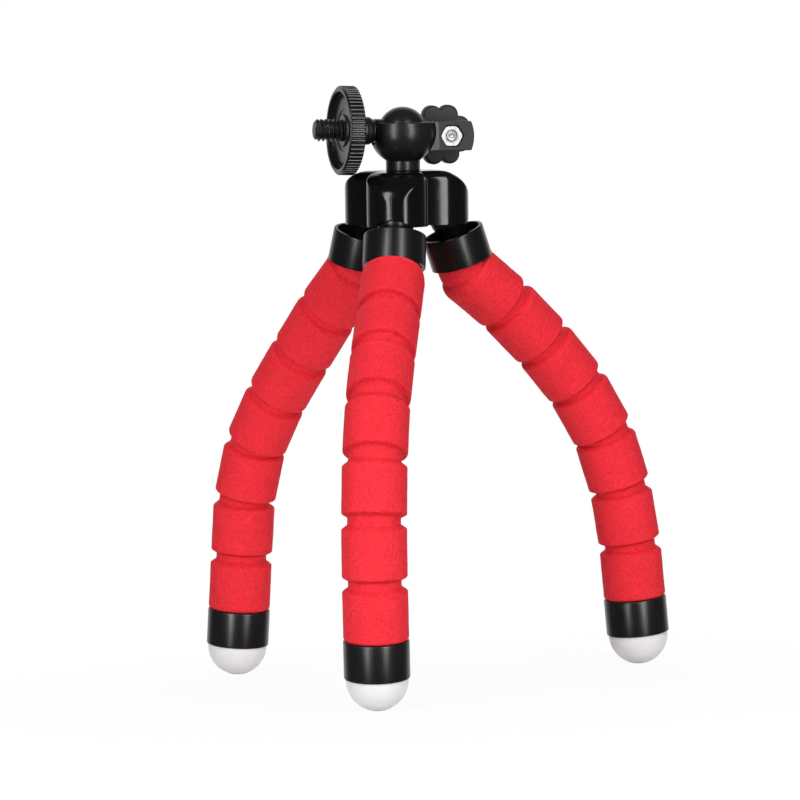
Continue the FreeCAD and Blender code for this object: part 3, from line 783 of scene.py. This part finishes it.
HUB_TALL = 15.3
HUB_REACH = 19.2
HUB_ROUND = 9.2
LOBE_ROUND = 3.0
LOBE_CIRCLE = 10.5
LOBE_HALF = 8.65
LOBE_FLARE = math.radians(4.0)
LOBE_CROWN = 28.6
LOBE_BLEND = 0.10
ARCH_START = 11.5
ARCH_HALF = 5.7
ARCH_RISE = 2.0
HUB_EDGE = 0.35
HUB_EDGE_SLOPE = 0.6
HUB_UNDERCUT = 0.12
HUB_STEPS = 540
SOCKET_RADIUS = 5.36
LUG_START = 9.35
BOWL_REACH = 9.65
BALL_RADIUS = 7.0
STEM_OUTLINE = [
    (3.4, 6.6, 0), (3.4, 8.3, 0.1), (2.95, 8.45, 0.05), (2.95, 8.85, 0.05), (3.4, 9.0, 0.1),
    (3.4, 9.3, 0.3), (3.9, 10.0, 0.2), (4.05, 11.4, 0.1), (4.4, 11.6, 0.1), (4.4, 14.2, 0.35),
    (2.02, 14.2, 0), (2.02, 7.2, 0), (0, 7.2, 0)]
SCREW_SHANK = ((2.0, 7.2), (2.0, 14.2), (2.9, 14.2), (2.9, 17.0), (2.3, 17.1))
THREAD_START = 17.2
THREAD_END = 26.05
THREAD_STEP = 0.07
THREAD_DEPTH = 0.558
THREAD_RUN_OUT = 0.3
FLANK_SLOPE = 2.5
ROOT_FLAT = 0.14
TIP_TAPER = 0.75


def lobe_wall(lobe_turn, half):
    """Radius of three lobes with crowned sides and round ends, at turns from a lobe's middle."""
    aside = np.abs(np.sin(lobe_turn))
    ahead = np.cos(lobe_turn)
    middle = (LOBE_CIRCLE + (LOBE_CROWN - half) * math.sin(LOBE_FLARE),
              (half - LOBE_CROWN) * math.cos(LOBE_FLARE))
    along = middle[0] * ahead + middle[1] * aside
    side = along + np.sqrt(along ** 2 + LOBE_CROWN ** 2 - middle[0] ** 2 - middle[1] ** 2)
    end = LOBE_CIRCLE * ahead + np.sqrt(np.maximum(0, half ** 2 - (LOBE_CIRCLE * aside) ** 2))
    touch = LOBE_CIRCLE - half * math.sin(LOBE_FLARE)
    return np.where(side * ahead < touch, side, end)


def hub_rings():
    """Rings of the hub's skin, from the middle of its underside over the wall to its top."""
    turns = np.linspace(0, 2 * math.pi, HUB_STEPS, endpoint=False)
    arch_radius = (ARCH_HALF ** 2 + ARCH_RISE ** 2) / (2 * ARCH_RISE)
    lobe_turn = (turns + math.pi / 3) % (2 * math.pi / 3) - math.pi / 3

    def underside(radius):
        aside = radius * np.sin(lobe_turn)
        rise = np.sqrt(np.maximum(0, arch_radius ** 2 - aside ** 2)) - (arch_radius - ARCH_RISE)
        beyond = radius * np.cos(lobe_turn) > ARCH_START
        return np.where(beyond, np.maximum(0, rise), 0)

    def limited(level):
        rounding = max(0.0, level - (HUB_TALL - LOBE_ROUND))
        inset = LOBE_ROUND - math.sqrt(max(0.0, LOBE_ROUND ** 2 - rounding ** 2))
        wall = lobe_wall(lobe_turn, LOBE_HALF - inset)
        if level > HUB_TALL - HUB_ROUND:
            up = min(HUB_ROUND, level - (HUB_TALL - HUB_ROUND))
            edge = HUB_REACH - HUB_ROUND + math.sqrt(HUB_ROUND ** 2 - up ** 2)
        else:
            edge = HUB_REACH - max(0.0, HUB_EDGE - level) * HUB_EDGE_SLOPE
        return soft_least(wall, np.full(turns.shape, edge), LOBE_BLEND)

    rings = []
    foot = limited(0.0) - HUB_UNDERCUT
    for share in np.linspace(0.06, 1.0, 34):
        rings.append(level_ring(turns, foot * share, underside(foot * share)))
    low = underside(foot)
    for level in np.linspace(0.06, HUB_TALL - HUB_ROUND, 24):
        lift = low * (1 - level / (HUB_TALL - HUB_ROUND))
        rings.append(level_ring(turns, limited(level), level + lift))
    for angle in np.linspace(0, math.pi / 2, 40)[1:]:
        level = HUB_TALL - HUB_ROUND + HUB_ROUND * math.sin(angle)
        rings.append(level_ring(turns, limited(level), level))
    top = limited(HUB_TALL)
    for share in np.linspace(0.95, 0.06, 14):
        rings.append(level_ring(turns, top * share, HUB_TALL))
    return rings


def carve(piece, tools):
    """Take tools out of a piece and leave one plain mesh."""
    for tool in tools:
        cutter = piece.modifiers.new("carve", "BOOLEAN")
        cutter.operation = "DIFFERENCE"
        cutter.solver = "EXACT"
        cutter.object = tool
    mesh = finished_mesh(piece)
    for tool in tools:
        bpy.data.objects.remove(tool)
    return mesh


def ball_tool(centre, radius):
    """A smooth ball to carve with, in the row frame."""
    mesh = bpy.data.meshes.new("ball_tool")
    edit_mesh(mesh, lambda work: bmesh.ops.create_uvsphere(
        work, u_segments=72, v_segments=36, radius=radius))
    mesh.transform(Matrix.Translation(centre))
    return add_object("ball_tool", mesh)


class TRIPOD_OT_hub(bpy.types.Operator):
    """Make the glossy three lobed hub with its leg sockets"""
    bl_idname = "tripod.hub"
    bl_label = "Hub"

    def execute(self, context):
        place = head_frames()["hub"] @ Matrix.Rotation(FRONT_LOBE, 4, "Z")
        body = grid_solid("hub_body", hub_rings(), place, FINISHES["hub"])
        tools = [ball_tool(joint_spot(leg + "_hip"), SOCKET_RADIUS * MM) for leg in LEGS]
        mesh = carve(body, tools)
        mesh.transform(place.inverted())
        if "spot" in mesh.attributes:
            mesh.attributes.remove(mesh.attributes["spot"])
        piece = place_piece("hub_shell", mesh, place, FINISHES["hub"], 32.0)
        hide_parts("hub")
        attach(piece, ROOT)
        return {"FINISHED"}


class TRIPOD_OT_ball_head(bpy.types.Operator):
    """Make the cup with its clamp lug, and the ball with its stem"""
    bl_idname = "tripod.ball_head"
    bl_label = "Ball head"

    def execute(self, context):
        places = head_frames()
        piece = moulded_skin("ball_cup", "cup_shell", places["head"], FINISHES["head"],
                             context.scene.tripod_head.voxel)
        piece.data.materials.append(FINISHES["matte"])
        inverse = places["head"].inverted()
        for face in piece.data.polygons:
            spot = inverse @ face.center
            if spot.x > LUG_START * MM and spot.length > BOWL_REACH * MM:
                face.material_index = 1
        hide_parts("ball_cup")
        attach(piece, ROOT)
        corners = arc((0, 0), BALL_RADIUS, -90, 60.9, 40) + STEM_OUTLINE
        corners[0] = (0, -BALL_RADIUS, 0)
        piece = turned("ball_and_stem", corners, places["stem"], FINISHES["head"])
        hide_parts("ball_stem")
        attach(piece, "ball")
        return {"FINISHED"}


def threaded_rings(settings, turns):
    """Rings of the screw's right-handed thread, in millimetres."""
    pitch = settings.thread_pitch / MM
    crest = settings.screw_radius / MM
    root = crest - THREAD_DEPTH * pitch
    rings = []
    for level in np.arange(THREAD_START, THREAD_END + 0.01, THREAD_STEP):
        phase = (level / pitch - turns / (2 * math.pi)) % 1.0
        flank = np.clip(np.abs(phase - 0.5) * FLANK_SLOPE - ROOT_FLAT, 0, 1)
        radius = root + (crest - root) * flank
        tip = crest - max(0.0, level - (THREAD_END - TIP_TAPER))
        run_out = crest if level > THREAD_START + THREAD_RUN_OUT else root + THREAD_RUN_OUT
        rings.append(level_ring(turns, np.minimum(radius, min(tip, run_out)), level))
    return rings


class TRIPOD_OT_camera_screw(bpy.types.Operator):
    """Make the threaded camera screw"""
    bl_idname = "tripod.camera_screw"
    bl_label = "Camera screw"

    def execute(self, context):
        turns = np.linspace(0, 2 * math.pi, 72, endpoint=False)
        rings = [level_ring(turns, radius, level) for radius, level in SCREW_SHANK]
        rings += threaded_rings(context.scene.tripod_head, turns)
        piece = grid_solid("camera_screw_thread", rings, head_frames()["stem"], FINISHES["steel"],
                           50.0)
        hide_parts("camera_screw")
        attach(piece, "screw")
        return {"FINISHED"}


RIB_LONG = 3.9
RIB_MIDDLE = 16.775


def wheel_rib_tree(finish):
    """Geometry nodes that set ribs round a rim."""
    tree = bpy.data.node_groups.new("wheel_ribs", "GeometryNodeTree")
    tree.interface.new_socket("Geometry", in_out="OUTPUT", socket_type="NodeSocketGeometry")
    sockets = {}
    for name, kind in (("Ribs", "Int"), ("Circle radius", "Float"), ("Rib radius", "Float"),
                       ("Rib length", "Float")):
        socket = tree.interface.new_socket(name, in_out="INPUT", socket_type="NodeSocket" + kind)
        sockets[name] = socket.identifier
    start = tree.nodes.new("NodeGroupInput")
    end = tree.nodes.new("NodeGroupOutput")
    ring = tree.nodes.new("GeometryNodeMeshCircle")
    rib = tree.nodes.new("GeometryNodeMeshCylinder")
    rib.inputs["Vertices"].default_value = 10
    spread = tree.nodes.new("GeometryNodeInstanceOnPoints")
    real = tree.nodes.new("GeometryNodeRealizeInstances")
    paint = tree.nodes.new("GeometryNodeSetMaterial")
    paint.inputs["Material"].default_value = finish
    for source, output, target, entry in (
            (start, "Ribs", ring, "Vertices"), (start, "Circle radius", ring, "Radius"),
            (start, "Rib radius", rib, "Radius"), (start, "Rib length", rib, "Depth"),
            (ring, "Mesh", spread, "Points"), (rib, "Mesh", spread, "Instance"),
            (spread, "Instances", real, "Geometry"), (real, "Geometry", paint, "Geometry"),
            (paint, "Geometry", end, "Geometry")):
        tree.links.new(source.outputs[output], target.inputs[entry])
    return tree, sockets


class TRIPOD_OT_lock_wheel(bpy.types.Operator):
    """Make the lock wheel and the ribs round its rim"""
    bl_idname = "tripod.lock_wheel"
    bl_label = "Lock wheel"

    def execute(self, context):
        settings = context.scene.tripod_head
        place = head_frames()["stem"]
        rim = settings.wheel_radius / MM
        corners = [(3.06, 14.4, 0), (rim - 0.9, 14.4, 0.2), (rim - 0.78, 14.95, 0.1),
                   (rim - 0.78, 18.5, 0.1), (rim - 0.35, 18.62, 0.15), (rim - 0.6, 19.15, 0.3),
                   (11.0, 19.15, 0.3), (10.8, 17.35, 0.4), (9.4, 17.35, 0.1), (9.2, 17.6, 0.1),
                   (6.0, 17.6, 0.1), (5.8, 17.35, 0.1), (4.6, 17.35, 0.3), (4.4, 17.9, 0.2),
                   (3.06, 17.9, 0)]
        piece = turned("lock_wheel_body", corners, place, FINISHES["wheel"],
                       128, closed=True)
        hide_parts("lock_wheel")
        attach(piece, "wheel")
        tree, sockets = wheel_rib_tree(FINISHES["wheel"])
        holder = add_object("ribs_work", bpy.data.meshes.new("ribs_work"))
        maker = holder.modifiers.new("ribs", "NODES")
        maker.node_group = tree
        maker[sockets["Ribs"]] = settings.wheel_ribs
        maker[sockets["Circle radius"]] = settings.wheel_radius - settings.rib_radius
        maker[sockets["Rib radius"]] = settings.rib_radius
        maker[sockets["Rib length"]] = RIB_LONG * MM
        mesh = finished_mesh(holder)
        mesh.transform(Matrix.Translation((0, 0, RIB_MIDDLE * MM)))
        piece = place_piece("lock_wheel_ribs", mesh, place, FINISHES["wheel"])
        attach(piece, "wheel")
        return {"FINISHED"}


# ---------------- clamp

NUT_LIMITS = ((1.6, 1.55), (1.1, 1.60), (0.8, 1.95), (0.8, 2.95), (0.98, 3.2), (2.7, 3.2),
              (3.0, 2.7))
BOLT_OUTLINE = [
    (0, 1.3, 0), (0.45, 1.25, 0.1), (0.7, 0.95, 0.1), (1.2, 0.85, 0.1), (1.5, 1.15, 0.1),
    (1.5, 14.3, 0), (2.75, 14.3, 0), (2.75, 16.3, 0), (0, 16.3, 0)]
KNOB_CORE = 6.9
KNOB_CIRCLE = 6.1
KNOB_LOBE = 2.8
KNOB_LOBES = 8
KNOB_BLEND = 0.20
KNOB_NECK = 4.2
KNOB_NECK_LEVELS = (8.25, 12.7)
KNOB_START = 12.9
KNOB_END = 17.35
KNOB_ROUND = 1.0
NUT_HALF = 2.75
NUT_BLEND = 0.02


def knob_rings():
    """Rings of the star knob, from the neck behind the lug to its outer end."""
    turns = np.linspace(0, 2 * math.pi, 280, endpoint=False)
    star = lobed_radius(turns, KNOB_CORE, KNOB_CIRCLE, KNOB_LOBE, KNOB_LOBES, KNOB_BLEND)
    rings = [level_ring(turns, KNOB_NECK, level) for level in KNOB_NECK_LEVELS]
    levels = [(KNOB_START, 0.90)]
    for angle in np.radians(np.linspace(10, 90, 7)):
        levels.append((KNOB_START + KNOB_ROUND * (1 - math.cos(angle)),
                       0.90 + 0.10 * math.sin(angle)))
    for angle in np.radians(np.linspace(90, 5, 9)):
        levels.append((KNOB_END - KNOB_ROUND * (1 - math.cos(angle)),
                       0.86 + 0.14 * math.sin(angle)))
    levels += [(KNOB_END + 0.05, 0.80), (KNOB_END + 0.15, 0.5), (KNOB_END - 0.3, 0.38),
               (KNOB_END - 0.35, 0.1)]
    return rings + [level_ring(turns, star * share, level) for level, share in levels]


def nut_rings():
    """Rings of the hexagon nut with its chamfered corners, in millimetres."""
    turns = np.linspace(0, 2 * math.pi, 180, endpoint=False)
    sector = turns % (math.pi / 3) - math.pi / 6
    hexagon = NUT_HALF / np.cos(sector)
    return [level_ring(turns, soft_least(hexagon, np.full(turns.shape, limit), NUT_BLEND), level)
            for level, limit in NUT_LIMITS]


class TRIPOD_OT_clamp(bpy.types.Operator):
    """Make the clamp's star knob, bolt and nut"""
    bl_idname = "tripod.clamp"
    bl_label = "Clamp"

    def execute(self, context):
        place = head_frames()["clamp"]
        turned_place = place @ Matrix.Rotation(KNOB_TURN, 4, "Z")
        piece = grid_solid("clamp_star", knob_rings(), turned_place, FINISHES["matte"],
                           50.0)
        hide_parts("clamp_knob")
        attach(piece, "clamp")
        piece = turned("clamp_bolt_shank", BOLT_OUTLINE, place, FINISHES["bolt"], 48)
        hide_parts("clamp_bolt")
        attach(piece, "clamp")
        piece = grid_solid("clamp_nut_hexagon", nut_rings(), place, FINISHES["zinc"],
                           28.0)
        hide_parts("clamp_nut")
        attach(piece, ROOT)
        return {"FINISHED"}


class TRIPOD_OT_inner_parts(bpy.types.Operator):
    """Give the pieces inside the legs and the hub their finishes"""
    bl_idname = "tripod.inner_parts"
    bl_label = "Inner parts"

    def execute(self, context):
        finishes = {leg + "_link_%d" % number: "chain" for leg in LEGS
                    for number in range(1, LINKS + 1)}
        finishes["hub_screw"] = "zinc"
        for node, finish in finishes.items():
            mesh = frame["nodes"][node].data
            mesh.materials.clear()
            mesh.materials.append(FINISHES[finish])
        return {"FINISHED"}


# ---------------- stage

CAMERA_SPOT = Vector((-0.00376, -1.490203, 0.153234))
CAMERA_AIM = Vector((-0.0028362, 0.9988586, -0.0476813))
CAMERA_UP = Vector((0.0385654, 0.0477553, 0.9981143))
LENS = 236.93
ROOM_LIGHT = 0.22
FLOOR_RADIUS = 0.20
LAMP_AIM = 0.09


def seen_rays(net):
    """Whether a ray is a camera, a glossy or a transmission ray."""
    path = net.add("ShaderNodeLightPath")
    return [Wire(net, path.socket.node.outputs[name])
            for name in ("Is Camera Ray", "Is Glossy Ray", "Is Transmission Ray")]


def studio_world():
    """White to the camera and behind the tripod, and a dim room in front of it for reflections."""
    net = Net("white_studio", bpy.data.worlds)
    camera, glossy, through = seen_rays(net)
    direction = net.add("ShaderNodeTexCoord", out=0)
    way = net.add("ShaderNodeSeparateXYZ", {}, {"Vector": direction}, out=1)
    mirrored = way.step(0.50, 0.92) * 0.92 + 0.08
    lit = 1.0 - camera - through - glossy
    strength = camera + through + glossy * mirrored + lit * ROOM_LIGHT
    glow = net.add("ShaderNodeBackground", {}, {"Color": (1, 1, 1, 1), "Strength": strength})
    net.add("ShaderNodeOutputWorld", {}, {"Surface": glow})
    return net.material


def floor_finish():
    """Pale floor that keeps the shadow and fades into the white background."""
    net = Net("floor_pale")
    middle = net.add("ShaderNodeVectorMath", {"operation": "LENGTH"}, {0: net.places()}, out=1)
    seen = seen_rays(net)
    fade = (middle.step(0.05, 0.18) * 0.08 + 0.92) * (seen[0] + seen[1] + seen[2])
    plain = net.add("ShaderNodeBsdfDiffuse", {}, {"Color": (0.93, 0.93, 0.93, 1.0)})
    white = net.add("ShaderNodeEmission", {}, {"Color": (1, 1, 1, 1), "Strength": 1.0})
    surface = net.add("ShaderNodeMixShader", {},
                      {0: fade.maths("MINIMUM", fade, 1.0), 1: plain, 2: white})
    net.add("ShaderNodeOutputMaterial", {}, {"Surface": surface})
    return net.material


def softbox(name, azimuth, elevation, distance, width, height, power):
    """An area lamp that looks at the middle of the tripod."""
    lamp = bpy.data.lights.new(name, "AREA")
    lamp.shape = "RECTANGLE"
    lamp.size = width
    lamp.size_y = height
    lamp.energy = power
    holder = add_object(name, lamp)
    turn, rise = math.radians(azimuth), math.radians(elevation)
    back = Vector((math.sin(turn) * math.cos(rise), -math.cos(turn) * math.cos(rise),
                   math.sin(rise)))
    holder.location = Vector((0, 0, LAMP_AIM)) + back * distance
    holder.rotation_mode = "QUATERNION"
    holder.rotation_quaternion = back.to_track_quat("Z", "Y")
    return holder


class TRIPOD_OT_stage(bpy.types.Operator):
    """Make the floor, the lamps, the world and the camera"""
    bl_idname = "tripod.stage"
    bl_label = "Stage"

    def execute(self, context):
        scene = context.scene
        mesh = bpy.data.meshes.new("floor")
        edit_mesh(mesh, lambda work: bmesh.ops.create_circle(
            work, cap_ends=True, segments=96, radius=FLOOR_RADIUS))
        mesh.materials.append(floor_finish())
        floor = add_object("floor", mesh)
        floor.visible_glossy = False
        for name, azimuth in (("softbox_left", -31), ("softbox_right", 31)):
            softbox(name, azimuth, 14, 1.0, 0.20, 1.25, 7.0)
        softbox("softbox_top", 0, 80, 1.1, 0.8, 0.8, 2.2).visible_glossy = False
        softbox("softbox_back", 180, 25, 1.2, 1.0, 0.8, 6.0).visible_glossy = False
        scene.world = studio_world()
        scene.view_settings.view_transform = "Standard"
        camera = bpy.data.cameras.new("camera")
        camera.sensor_width = 36.0
        camera.lens = LENS
        camera.clip_end = 50.0
        scene.camera = add_object("camera", camera)
        scene.camera.matrix_world = frame_of(CAMERA_SPOT, -CAMERA_AIM, CAMERA_UP)
        return {"FINISHED"}


# ---------------- add-on

OPERATORS = (TRIPOD_OT_stage, TRIPOD_OT_foam_legs, TRIPOD_OT_collars, TRIPOD_OT_feet, TRIPOD_OT_hub,
             TRIPOD_OT_ball_head, TRIPOD_OT_camera_screw, TRIPOD_OT_lock_wheel, TRIPOD_OT_clamp,
             TRIPOD_OT_inner_parts)


class TRIPOD_PT_panel(bpy.types.Panel):
    """Sizes, colours and makers of the tripod's pieces"""
    bl_idname = "TRIPOD_PT_panel"
    bl_label = "Mini tripod"
    bl_space_type = "VIEW_3D"
    bl_region_type = "UI"
    bl_category = "Tripod"

    def draw(self, context):
        scene = context.scene
        for group in (scene.tripod_foam, scene.tripod_head, scene.tripod_finishes):
            box = self.layout.box()
            for name in group.bl_rna.properties.keys():
                if name not in ("rna_type", "name"):
                    box.prop(group, name)
        for operator in OPERATORS:
            self.layout.operator(operator.bl_idname)


GROUPS = {"tripod_foam": TripodFoam, "tripod_head": TripodHead, "tripod_finishes": TripodFinishes}


def register():
    """Register the settings, the operators and the panel."""
    for name, group in GROUPS.items():
        bpy.utils.register_class(group)
        setattr(bpy.types.Scene, name, PointerProperty(type=group))
    for item in OPERATORS + (TRIPOD_PT_panel,):
        bpy.utils.register_class(item)


def unregister():
    """Take everything back out."""
    for item in (TRIPOD_PT_panel,) + OPERATORS[::-1]:
        bpy.utils.unregister_class(item)
    for name, group in GROUPS.items():
        delattr(bpy.types.Scene, name)
        bpy.utils.unregister_class(group)


def main():
    """Make every piece."""
    register()
    FINISHES.update(build_finishes(bpy.context.scene.tripod_finishes))
    for operator in OPERATORS:
        group, name = operator.bl_idname.split(".")
        getattr(getattr(bpy.ops, group), name)()
    bpy.context.view_layer.update()


if __name__ == "__main__":
    main()
